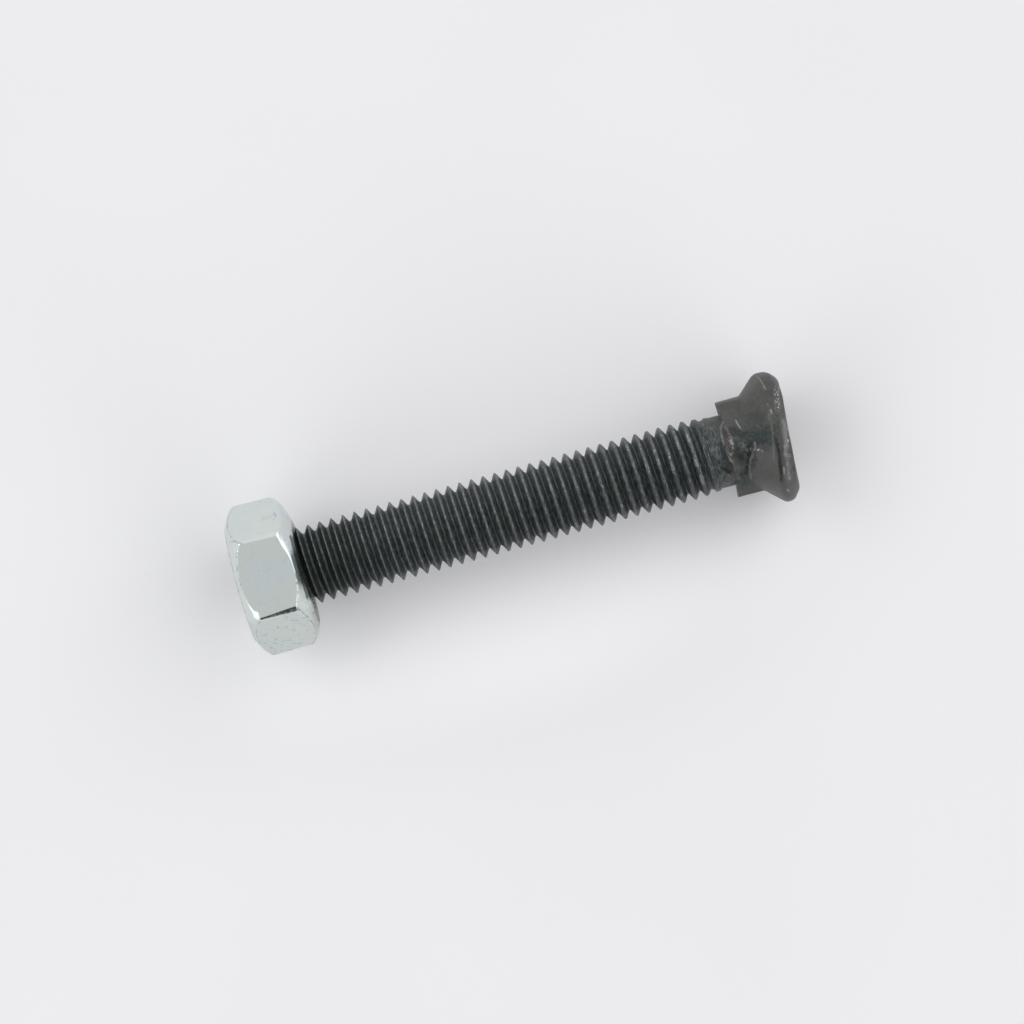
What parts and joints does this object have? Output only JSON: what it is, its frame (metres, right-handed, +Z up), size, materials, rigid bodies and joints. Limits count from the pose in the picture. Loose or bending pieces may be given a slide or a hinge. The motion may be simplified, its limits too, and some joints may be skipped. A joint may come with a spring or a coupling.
{
  "type": "plow bolt with nut",
  "caption": "All-thread plow bolt with a square neck and a countersunk head, and the hexagon nut screwed onto its free end.",
  "frame": {"origin": "centre of the footprint, on the surface that the part lies on", "axes": "+X along the bolt from the nut to the head, +Z up and square to the nut flat that the part rests on"},
  "size_m": [0.0711, 0.019, 0.0168],
  "materials": {
    "black_steel": "black oxide, oiled, with rubbed crests",
    "zinc_plate": "bright zinc plate, satin, with small pits"
  },
  "bodies": {
    "bolt": {"plow_bolt": "black_steel"},
    "nut": {"hex_nut": "zinc_plate"}
  },
  "joints": [
    {"name": "nut_travel", "type": "slide", "parent": "bolt", "child": "nut", "axis": [1, 0, 0], "range_m": [-0.006, 0.0495]}
  ]
}
